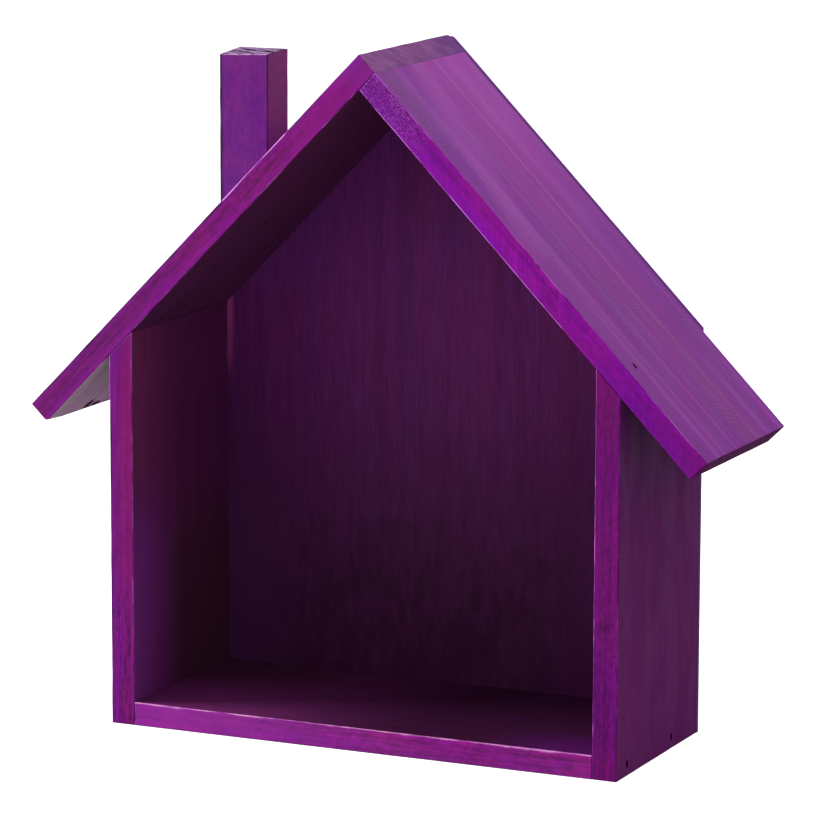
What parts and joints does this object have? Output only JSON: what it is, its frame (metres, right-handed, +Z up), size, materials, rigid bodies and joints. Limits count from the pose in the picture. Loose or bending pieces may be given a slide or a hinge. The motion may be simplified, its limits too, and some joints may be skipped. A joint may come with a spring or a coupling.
{
  "type": "house-shaped wall shelf",
  "caption": "Small open-fronted wooden wall shelf in the shape of a gabled house, with overhanging eaves, a chimney stick, a thin back planted on behind and keyhole hangers.",
  "frame": {"origin": "middle of the flat base that the shelf stands on, half way along its width and its depth", "axes": "+Z up to the ridge, the open front faces -Y and the hangers +Y, +X to the right of someone who looks into the front"},
  "size_m": [0.2782, 0.0844, 0.264],
  "materials": {
    "stained_boards": "purple stain over planed softwood, satin, grain and worn edges showing",
    "stained_panel": "purple stain over thin plywood, satin",
    "brad_wire": "dull bare wire",
    "zinc_plate": "bright zinc plating"
  },
  "bodies": {
    "root": {"left_wall": "stained_boards", "right_wall": "stained_boards", "floor_board": "stained_boards", "left_roof_board": "stained_boards", "right_roof_board": "stained_boards", "chimney": "stained_boards", "back_panel": "stained_panel", "floor_brads_left": "brad_wire", "floor_brads_right": "brad_wire", "roof_brads_left": "brad_wire", "roof_brads_right": "brad_wire", "ridge_brads": "brad_wire", "panel_brads": "brad_wire", "chimney_brads": "brad_wire", "hanger_left": "zinc_plate", "hanger_right": "zinc_plate", "hanger_screws_left": "zinc_plate", "hanger_screws_right": "zinc_plate"}
  },
  "joints": []
}
